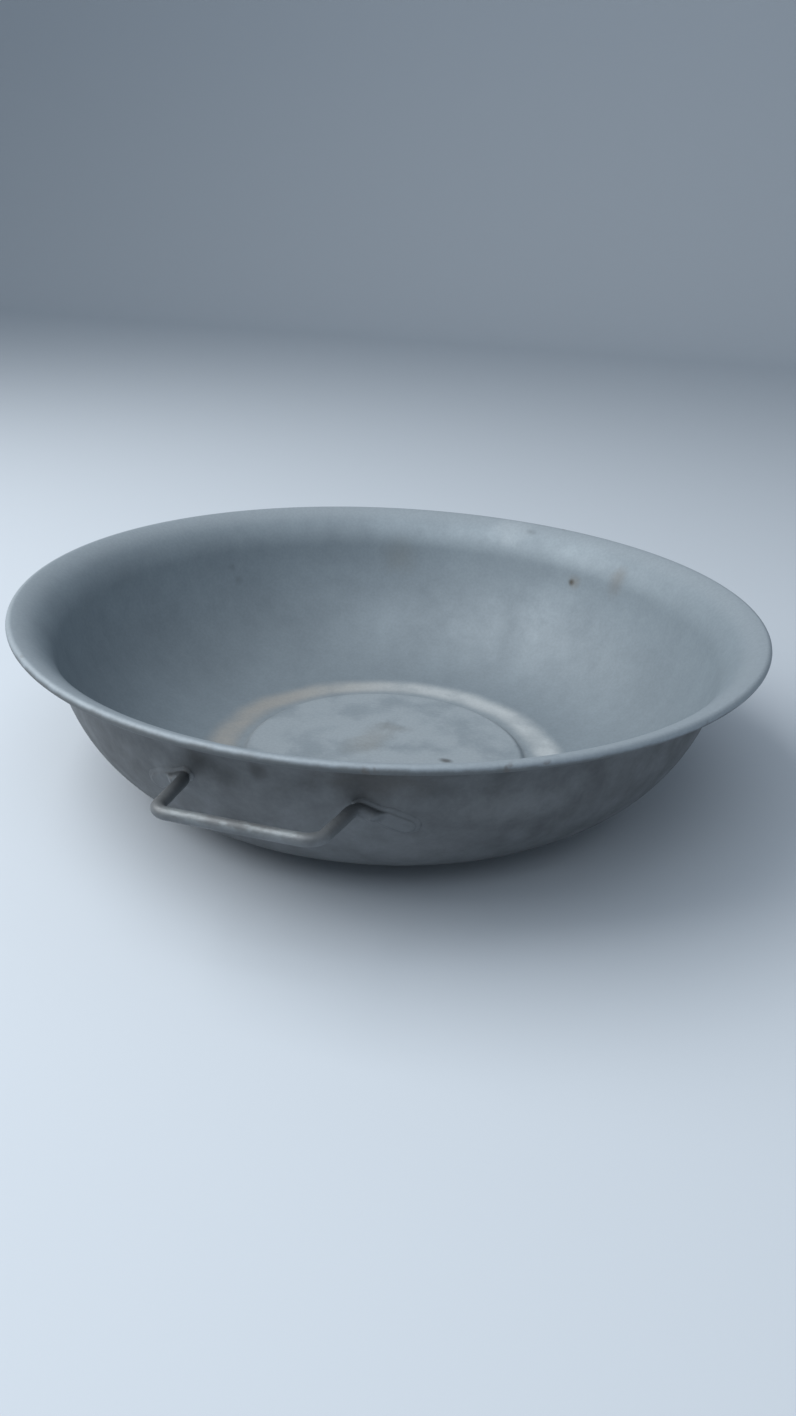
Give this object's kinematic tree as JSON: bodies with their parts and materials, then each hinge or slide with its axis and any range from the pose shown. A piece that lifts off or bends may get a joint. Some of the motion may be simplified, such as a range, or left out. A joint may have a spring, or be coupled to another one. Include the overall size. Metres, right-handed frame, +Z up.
{
  "type": "washing-up basin",
  "caption": "Round shallow galvanised sheet-metal basin with a rounded wall, a flared lip with a wired edge, a raised base disc and a pair of fixed rod side handles.",
  "frame": {"origin": "centre of the foot ring, on the plane that the basin rests on", "axes": "+Z up out of the bowl; the front handle points along -Y and the rear handle along +Y; +X to the right, seen from the front handle"},
  "size_m": [0.45, 0.4818, 0.1104],
  "materials": {
    "galvanised_sheet": "hot-dip galvanised steel, weathered to a matt blue-grey patina with pale limescale",
    "galvanised_rod": "hot-dip galvanised steel rod, matt, worn brighter on the grip",
    "steel_wire": "drawn steel wire, dull, hidden inside the rolled rim"
  },
  "bodies": {
    "root": {"basin_shell": "galvanised_sheet", "rim_wire": "steel_wire", "front_handle": "galvanised_rod", "rear_handle": "galvanised_rod"}
  },
  "joints": []
}
